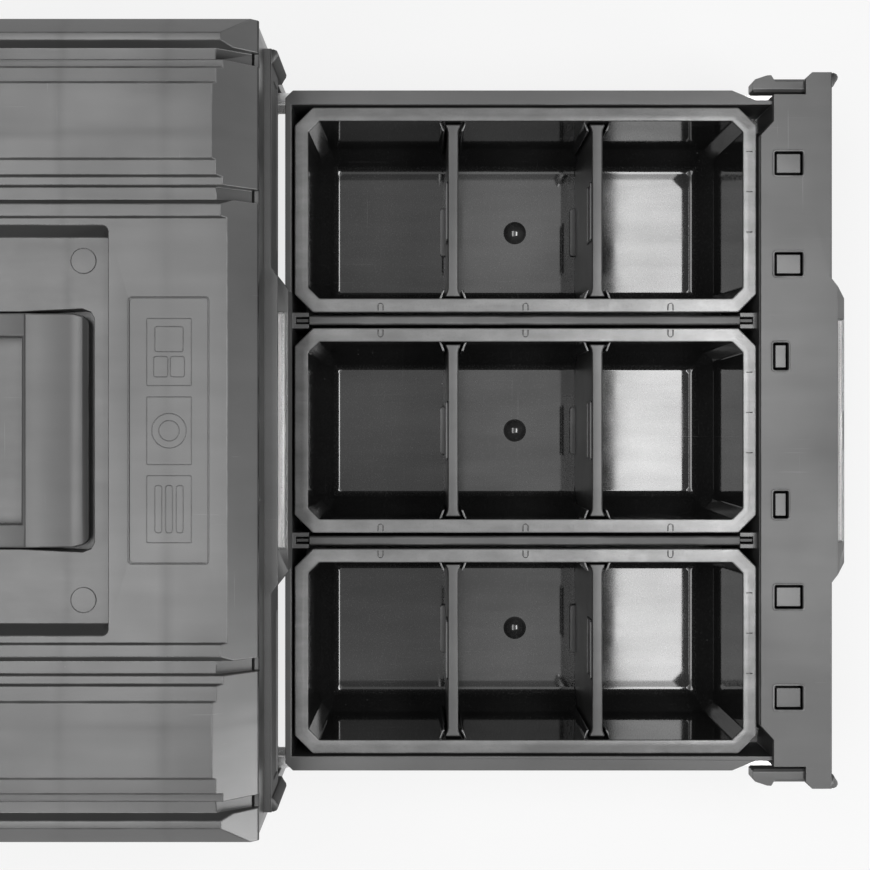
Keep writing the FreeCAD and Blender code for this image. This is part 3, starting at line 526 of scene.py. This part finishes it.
def divider_guides(work, middle, wall, knee, top):
    """Pairs of slanted blades on both side walls, which hold the ends of the dividers."""
    blade = [(wall - GUIDE_REACH, GUIDE_TIP), (wall + GUIDE_SINK, GUIDE_ROOT),
             (wall + GUIDE_SINK, GUIDE_ROOT + GUIDE_THICK), (wall - GUIDE_REACH, GUIDE_TIP + GUIDE_THICK)]
    for place in (-DIVIDER_PITCH / 2, DIVIDER_PITCH / 2):
        for end in (1, -1):
            for turn in (1, -1):
                prism(work, [Vector((middle.x + end * a, middle.y + place + turn * b)) for a, b in blade],
                      knee, top)


def rim_peg(work, spot, end):
    """A small U in relief on the rim, open towards the neighbouring bin."""
    path = [spot + Vector((0, -PEG_HALF, 0))]
    for step in range(PEG_STEPS + 1):
        turn = pi * step / PEG_STEPS
        path.append(spot + Vector((-end * (PEG_REACH + PEG_HALF * sin(turn)), -PEG_HALF * cos(turn), 0)))
    path.append(spot + Vector((0, PEG_HALF, 0)))
    bead(work, path, PEG_LINE)


def storage_bin(node):
    """A bin with its guides and boss, and the pegs and ticks on its rim."""
    low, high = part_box(node)
    middle = (low + high) / 2
    half_x = (high.x - low.x) / 2
    half_y = (high.y - low.y) / 2
    rim = high.z
    floor = low.z + BIN_FLOOR
    level, side = node.split("_")[:2]
    knee = floor + TOE_HEIGHT[level]
    work = bmesh.new()
    matte_and_painted_light = work.faces.layers.float.new("matte_and_painted_light")
    wear_and_highlight = work.faces.layers.float.new("wear_and_highlight")
    rows = loft(work, middle, bin_levels(low.z, rim, floor, knee, half_x, half_y))
    # Rim rows and corner facets take the lighter tone as painted light; edge rows are lightened as wear and
    # painted highlight.
    for row in rows[RIM_ROWS]:
        for face in row:
            face[matte_and_painted_light] = 1.0
    for face in rows[WALL_ROW][CORNER_FACETS]:
        face[matte_and_painted_light] = CORNER_PAINTED_LIGHT
    for index in HIGHLIT_EDGE_ROWS:
        for face in rows[index]:
            face[wear_and_highlight] = 1.0
    shell = set(work.faces)
    divider_guides(work, middle, half_x - BIN_RIM, knee, rim - GUIDE_DROP)
    if level == "lower":
        boss = [(floor + height * MM, circle(radius * MM, BOSS_STEPS)) for height, radius in BOSS_PROFILE]
        loft(work, middle, boss)
    # Guides and boss are lightened too, partly as painted highlight.
    for face in work.faces:
        if face not in shell:
            face[wear_and_highlight] = GUIDE_WEAR_AND_HIGHLIGHT
    for end in PEG_SIDES[side]:
        for place in (-DIVIDER_PITCH, 0, DIVIDER_PITCH):
            spot = Vector((middle.x + end * (half_x - PEG_INSET), middle.y + place, rim - RIM_STEP_HEIGHT))
            rim_peg(work, spot, end)
    for place in TICK_PLACES:
        start = Vector((middle.x + place, low.y + TICK_INSET, rim - RIM_STEP_HEIGHT / 2))
        bead(work, [start, start + Vector((0, TICK_LENGTH, 0))], TICK_LINE)
    return piece_from(node + "_tub", work, nodes[node]["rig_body"], "bin_plastic", node)


# Dividers: a plate that flares where it slides between the guides, a foot and a label frame

DIVIDER_HALF = 3.8 * MM
FLARE_HALF = 5.4 * MM
FLARE_RUN = 6 * MM
DIVIDER_FOOT = 7.8 * MM
DIVIDER_LIFT = 0.6 * MM
TOP_EASE = 1.2 * MM
TOP_BEVEL = 0.35 * MM
PAD_HALF = 19 * MM
PAD_REACH = 4 * MM
PAD_HEIGHT = 4 * MM
PAD_CHAMFER_X = 1.4 * MM
PAD_CHAMFER_Y = 1.125 * MM
LABEL_HALF = 21.5 * MM
LABEL_BAR = 1.6 * MM
LABEL_DEEP = 1.1 * MM
LABEL_TOP = 3 * MM
LABEL_BOTTOM = 24 * MM
DIVIDER_WEAR = 0.3


def between(x, table):
    """A value read from a table of places and values, straight from one to the next."""
    for (x0, y0), (x1, y1) in zip(table, table[1:]):
        if x <= x1:
            return y0 + (y1 - y0) * (x - x0) / (x1 - x0)
    return table[-1][1]


def divider_plate(work, middle, place, half, floor, knee, top):
    """A plate across a bin, cut to its walls and floor, thicker at both ends."""
    bend = half - BIN_DRAFT
    foot = bend - BIN_TOE
    ease = BIN_FILLET + 1.5 * MM
    underside = [(0, floor), (foot - ease, floor), (foot, floor + ease), (bend, knee), (half, top - 6 * MM)]
    flare = [(0, DIVIDER_HALF), (half - FLARE_RUN, DIVIDER_HALF), (half - 3.6 * MM, DIVIDER_HALF + 0.4 * MM),
             (half - 1 * MM, FLARE_HALF), (half, FLARE_HALF)]
    stations = [half, half - 0.4 * MM, half - 1 * MM, bend, half - 3.6 * MM, half - FLARE_RUN, foot,
                foot - ease]
    rings = []
    for x in [-station for station in stations] + stations[::-1]:
        low = between(abs(x), underside)
        wide = between(abs(x), flare)
        high = top - 0.5 * MM if abs(x) == half else top
        section = [(-wide, low), (-wide, high - TOP_EASE), (-wide + TOP_BEVEL, high - TOP_BEVEL),
                   (-wide + TOP_EASE, high)]
        section += [(-y, z) for y, z in section[::-1]]
        rings.append([(middle + x, place + y, z) for y, z in section])
    skin(work, rings)


def foot_pad(work, middle, face, low):
    """The pad on which a divider stands, in front of its face."""
    pad = [(-PAD_HALF, -0.5 * MM), (PAD_HALF, -0.5 * MM), (PAD_HALF, PAD_REACH - PAD_CHAMFER_Y),
           (PAD_HALF - PAD_CHAMFER_X, PAD_REACH), (PAD_CHAMFER_X - PAD_HALF, PAD_REACH),
           (-PAD_HALF, PAD_REACH - PAD_CHAMFER_Y)]
    prism(work, [Vector((middle + x, face + y)) for x, y in pad], low, low + PAD_HEIGHT)


def label_frame(work, middle, face, low, high):
    """Four bars round the place for a label."""
    bars = [(-LABEL_HALF, LABEL_HALF, low, low + LABEL_BAR),
            (-LABEL_HALF, LABEL_HALF, high - LABEL_BAR, high),
            (-LABEL_HALF, LABEL_BAR - LABEL_HALF, low, high),
            (LABEL_HALF - LABEL_BAR, LABEL_HALF, low, high)]
    back = face - 0.3 * MM
    for left, right, bottom, top in bars:
        ring = [(left, back), (right, back), (right, face + LABEL_DEEP), (left, face + LABEL_DEEP)]
        prism(work, [Vector((middle + x, y)) for x, y in ring], bottom, top, 0.3 * MM)


def dividers(node):
    """The divider of a node, or the two that an upper bin's node holds."""
    low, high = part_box(node)
    middle = (low.x + high.x) / 2
    half = (high.x - low.x) / 2
    knee = low.z - DIVIDER_LIFT + TOE_HEIGHT[node.split("_")[0]]
    places = [low.y + FLARE_HALF]
    if node.endswith("s"):
        places.append(high.y - DIVIDER_FOOT)
    work = bmesh.new()
    wear_and_highlight = work.faces.layers.float.new("wear_and_highlight")
    for place in places:
        face = place + DIVIDER_HALF
        divider_plate(work, middle, place, half, low.z, knee, high.z)
        foot_pad(work, middle, face, low.z)
        label_frame(work, middle, face, high.z - LABEL_BOTTOM, high.z - LABEL_TOP)
    for item in work.faces:
        item[wear_and_highlight] = DIVIDER_WEAR
    return piece_from(node + "_plates", work, nodes[node]["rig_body"], "divider_plastic", node)


# Fine lines in relief: sign frames and ejector rings of the cover, borders of the snap windows

SIGN_LINE = 0.35 * MM
SIGN_Y = -144.7 * MM
SIGN_DEPTH = 8.4 * MM
POCKET_HALF = (84.6 * MM, 25.4 * MM)
POCKET_MIDDLE_Y = -144.5 * MM
POCKET_DEPTH = 7.7 * MM
POCKET_CORNER = 2 * MM
POCKET_LINE = 0.6 * MM
SIGN_HALF_Y = 14.2 * MM
SIGN_CORNER = 0.8 * MM
# Plain frames: middle along X and half length
SIGN_FRAMES = ((49.8 * MM, 21.3 * MM), (-0.2 * MM, 21.5 * MM), (-50 * MM, 21.3 * MM))
# Blocks in the first frame: middle, half sizes
SIGN_BLOCKS = ((58 * MM, SIGN_Y, 8 * MM, 9 * MM), (40.5 * MM, -150 * MM, 6.5 * MM, 4.5 * MM),
               (40.5 * MM, -139.4 * MM, 6.5 * MM, 4.5 * MM))
BLOCK_CORNER = 1.5 * MM
# Rings in the second frame and bars in the third
SIGN_RINGS = (11 * MM, 6.5 * MM)
RING_STEPS = 40
BAR_PITCH = 6.8 * MM
BAR_HALF = (15 * MM, 2.2 * MM)
BAR_CORNER = 1.6 * MM
EJECTOR_X = 109.3 * MM
EJECTOR_Y = 87.1 * MM
EJECTOR_RADIUS = 8.1 * MM
EJECTOR_LINE = 0.25 * MM
RECESS_DEPTH = 21 * MM


def cover_marks():
    """Plain frames and shapes in the sign pocket, and the rings left by the ejector pins."""
    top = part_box("top_cover")[1].z
    work = bmesh.new()

    def outline(x, y, half_x, half_y, corner):
        spot = Vector((x, y, top - SIGN_DEPTH))
        bead(work, rounded_path(half_x, half_y, corner, spot), SIGN_LINE, True)

    def ring(x, y, z, radius, line):
        bead(work, [Vector((x + p.x, y + p.y, z)) for p in circle(radius, RING_STEPS)], line, True)

    edge = Vector((0, POCKET_MIDDLE_Y, top - POCKET_DEPTH))
    bead(work, rounded_path(*POCKET_HALF, POCKET_CORNER, edge), POCKET_LINE, True)
    for x, half_x in SIGN_FRAMES:
        outline(x, SIGN_Y, half_x, SIGN_HALF_Y, SIGN_CORNER)
    for x, y, half_x, half_y in SIGN_BLOCKS:
        outline(x, y, half_x, half_y, BLOCK_CORNER)
    for radius in SIGN_RINGS:
        ring(SIGN_FRAMES[1][0], SIGN_Y, top - SIGN_DEPTH, radius, SIGN_LINE)
    for y in (SIGN_Y - BAR_PITCH, SIGN_Y, SIGN_Y + BAR_PITCH):
        outline(SIGN_FRAMES[2][0], y, *BAR_HALF, BAR_CORNER)
    for x in (-EJECTOR_X, EJECTOR_X):
        for y in (-EJECTOR_Y, EJECTOR_Y):
            ring(x, y, top - RECESS_DEPTH, EJECTOR_RADIUS, EJECTOR_LINE)
    return piece_from("cover_marks", work, nodes["top_cover"]["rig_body"], "case_plastic")


# Snap windows of a front, measured from its rear edge: the four outer ones and the two over the pull
WINDOW_BACK = 19.9 * MM
WINDOW_HALF = (8.4 * MM, 10.1 * MM)
OUTER_WINDOW_INSET = 65.2 * MM
INNER_WINDOW_X = 119 * MM
PULL_WINDOW_BACK = 14.2 * MM
PULL_WINDOW_HALF = (9.7 * MM, 5.4 * MM)
PULL_WINDOW_X = 53 * MM
BORDER_GAP = 0.9 * MM
BORDER_CORNER = 2.2 * MM
BORDER_LINE = 0.8 * MM
# How strongly the borders are lightened: painted highlight along the beads.
BORDER_HIGHLIGHT = 1.6


def window_borders(level):
    """Raised borders round the six snap windows in the top of a drawer front."""
    node = level + "_drawer_front"
    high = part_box(node)[1]
    windows = [(high.x - OUTER_WINDOW_INSET, WINDOW_BACK, WINDOW_HALF),
               (INNER_WINDOW_X, WINDOW_BACK, WINDOW_HALF),
               (PULL_WINDOW_X, PULL_WINDOW_BACK, PULL_WINDOW_HALF)]
    work = bmesh.new()
    wear_and_highlight = work.faces.layers.float.new("wear_and_highlight")
    for x, back, (half_x, half_y) in windows:
        for side in (-1, 1):
            spot = Vector((side * x, high.y - back, high.z))
            path = rounded_path(half_x + BORDER_GAP, half_y + BORDER_GAP, BORDER_CORNER, spot)
            bead(work, path, BORDER_LINE, True)
    # The borders are lightened as a painted highlight on the beads.
    for face in work.faces:
        face[wear_and_highlight] = BORDER_HIGHLIGHT
    return piece_from(level + "_window_borders", work, nodes[node]["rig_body"], "front_plastic")


# Rounded mouldings in place of the sharp solids

# How a kind of node is rounded: edges below the shortest length stay sharp, and so do those beside faces
# fewer widths across than slimmest. Clamp holds the rounding back where edges are close.
Rounding = namedtuple("Rounding", "width shortest slimmest clamp", defaults=(2.2, False))
ROUNDED = {
    "top_cover": Rounding(0.7 * MM, 0.35 * MM),
    "carry_handle": Rounding(1.2 * MM, 3 * MM),
    "_side_panel": Rounding(0.7 * MM, 0.35 * MM),
    "back_panel": Rounding(0.7 * MM, 0.35 * MM),
    "_partition": Rounding(0.5 * MM, 0.3 * MM),
    "_tray": Rounding(0.5 * MM, 1.5 * MM),
    "_drawer_front": Rounding(0.5 * MM, 0.3 * MM, slimmest=4),
    "_hook": Rounding(0.8 * MM, 0.3 * MM, clamp=True),
}
WELD_DISTANCE = 0.005 * MM
FLAT_ANGLE = radians(0.6)
SHARP_ANGLE = radians(28)
RECESS_HALF_X = 131 * MM
RECESS_HALF_Y = 107 * MM
RECESS_TOP = 255 * MM


def in_recess(face):
    """Inside the handle's recess in the cover, which takes a darker tone as painted shade."""
    point = face.calc_center_median()
    return abs(point.x) < RECESS_HALF_X and abs(point.y) < RECESS_HALF_Y and point.z < RECESS_TOP


def upright(face):
    """The upright sides of a drawer front or a tray, which take a darker tone as painted shade and a rougher
    finish.
    """
    return abs(face.normal.z) < 0.3


def everywhere(face):
    """The partitions take the darker, rougher second finish all over."""
    return True


MATTE_AND_PAINTED_LIGHT_TESTS = {"top_cover": in_recess, "_drawer_front": upright, "_tray": upright, "_partition": everywhere}


def across(face, edge):
    """How wide a face is across one of its edges; many-sided faces count as a strip."""
    if len(face.edges) == 4:
        return face.calc_area() / edge.calc_length()
    return 2 * face.calc_area() / sum(side.calc_length() for side in face.edges)


def rounded(node, rounding, matte_and_painted_light_test):
    """A copy of a node with its sharp edges rounded, which stands for the node."""
    work = bmesh.new()
    work.from_mesh(nodes[node].data)
    wear_and_highlight = work.faces.layers.float.new("wear_and_highlight")
    matte_and_painted_light = work.faces.layers.float.new("matte_and_painted_light")
    bmesh.ops.remove_doubles(work, verts=work.verts, dist=WELD_DISTANCE)
    bmesh.ops.dissolve_limit(work, angle_limit=FLAT_ANGLE, verts=work.verts, edges=work.edges)
    # Marked faces get the second finish: painted shade on upright sides and in the recess, with a rougher
    # finish.
    if matte_and_painted_light_test:
        for face in work.faces:
            face[matte_and_painted_light] = float(matte_and_painted_light_test(face))
    edges = [edge for edge in work.edges
             if len(edge.link_faces) == 2 and edge.calc_face_angle() > SHARP_ANGLE
             and edge.calc_length() > rounding.shortest
             and all(across(face, edge) > rounding.slimmest * rounding.width for face in edge.link_faces)]
    made = bmesh.ops.bevel(work, geom=edges, offset=rounding.width, offset_type="OFFSET", segments=2,
                           profile=0.5, affect="EDGES", clamp_overlap=rounding.clamp)
    # The rounded edges are lightened, partly as wear and partly as painted highlight.
    for face in made["faces"]:
        face[wear_and_highlight] = 1.0
    return piece_from(node + "_moulding", work, nodes[node]["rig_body"], slot_of(node), node)


for node, item in nodes.items():
    item.data.materials.clear()
    item.data.materials.append(FINISHES[slot_of(node)])
for node in list(nodes):
    for ending, rounding in ROUNDED.items():
        if node.endswith(ending):
            rounded(node, rounding, MATTE_AND_PAINTED_LIGHT_TESTS.get(ending))
    if node.endswith("_bin"):
        storage_bin(node)
    elif "_divider" in node:
        dividers(node)
cover_marks()
for level in ("lower", "upper"):
    window_borders(level)


# Floor, light and camera

FLOOR_REACH = 4.5
FLOOR_DROP = 0.2 * MM
FLOOR_TONE = 0.5
FLOOR_GLOW = 0.8
COVE_RADIUS = 1.5
BACKDROP_HEIGHT = 3.2
FACING_DOWN = (0, 0, 0)
CAMERA_PLACE = (0, -0.306, 1.154)
CAMERA_TURN = (0, 0, radians(-90))


def floor_material():
    """A pale floor that the camera, mirrors and glass see as nearly white, with room for a shadow."""
    material = bpy.data.materials.new("pale_floor")
    material.use_nodes = True
    tree = material.node_tree
    tree.nodes.clear()
    plain = tree.nodes.new("ShaderNodeBsdfDiffuse")
    plain.inputs["Color"].default_value = grey(FLOOR_TONE)
    glow = tree.nodes.new("ShaderNodeEmission")
    path = tree.nodes.new("ShaderNodeLightPath")
    seen = path.outputs["Is Camera Ray"]
    for kind in ("Is Glossy Ray", "Is Transmission Ray"):
        either = tree.nodes.new("ShaderNodeMath")
        either.operation = "MAXIMUM"
        tree.links.new(seen, either.inputs[0])
        tree.links.new(path.outputs[kind], either.inputs[1])
        seen = either.outputs["Value"]
    share = tree.nodes.new("ShaderNodeMath")
    share.operation = "MULTIPLY"
    share.inputs[1].default_value = FLOOR_GLOW
    mix = tree.nodes.new("ShaderNodeMixShader")
    output = tree.nodes.new("ShaderNodeOutputMaterial")
    tree.links.new(seen, share.inputs[0])
    tree.links.new(share.outputs["Value"], mix.inputs["Fac"])
    tree.links.new(plain.outputs["BSDF"], mix.inputs[1])
    tree.links.new(glow.outputs["Emission"], mix.inputs[2])
    tree.links.new(mix.outputs["Shader"], output.inputs["Surface"])
    return material


def stage_floor():
    """A round floor that turns up into a backdrop."""
    bends = [radians(turn) for turn in range(0, 91, 15)]
    profile = [(FLOOR_REACH + COVE_RADIUS * sin(bend), COVE_RADIUS * (1 - cos(bend))) for bend in bends]
    profile.append((FLOOR_REACH + COVE_RADIUS, BACKDROP_HEIGHT))
    work = bmesh.new()
    rings = [[work.verts.new((p.x, p.y, height)) for p in circle(radius, 64)] for radius, height in profile]
    for first, second in zip(rings, rings[1:]):
        for i in range(len(first)):
            work.faces.new((first[i - 1], first[i], second[i], second[i - 1])).smooth = True
    work.faces.new(rings[0])
    mesh = bpy.data.meshes.new("floor")
    work.to_mesh(mesh)
    work.free()
    mesh.materials.append(floor_material())
    floor = bpy.data.objects.new("floor", mesh)
    floor.location.z = -FLOOR_DROP
    bpy.context.scene.collection.objects.link(floor)


def area_light(name, place, turn, wide, long, power):
    light = bpy.data.lights.new(name, "AREA")
    light.shape = "RECTANGLE"
    light.size = wide
    light.size_y = long
    light.energy = power
    lamp = bpy.data.objects.new(name, light)
    lamp.location = place
    lamp.rotation_euler = turn
    lamp.visible_camera = False
    bpy.context.scene.collection.objects.link(lamp)


stage_floor()
world = bpy.data.worlds.new("studio")
world.use_nodes = True
sky = world.node_tree.nodes["Background"]
sky.inputs["Color"].default_value = grey(0.95)
sky.inputs["Strength"].default_value = 0.12
bpy.context.scene.world = world
area_light("key", (0, -0.94, 2.0), FACING_DOWN, 1.24, 0.42, 24.5)
area_light("overhead", (0, 0.58, 2.4), FACING_DOWN, 2.0, 1.05, 43)
area_light("ceiling_rear", (0, -0.18, 2.4), FACING_DOWN, 1.8, 0.45, 2.8)
area_light("ceiling_front", (0, -0.56, 2.4), FACING_DOWN, 1.8, 0.33, 3.9)
area_light("horizon", (0, -2.4, 0.75), (radians(90), 0, 0), 3.2, 1.2, 7.5)
area_light("side", (-1.08, -2.25, 0.8), (radians(75), 0, radians(-25)), 0.9, 1.0, 30)

lens = bpy.data.cameras.new("photo_camera")
lens.lens = 58.14
lens.sensor_width = 36
lens.shift_x = 0.0138
lens.shift_y = -0.0052
camera = bpy.data.objects.new("photo_camera", lens)
camera.location = CAMERA_PLACE
camera.rotation_euler = CAMERA_TURN
bpy.context.scene.collection.objects.link(camera)
bpy.context.scene.camera = camera
bpy.context.scene.view_settings.view_transform = "Standard"
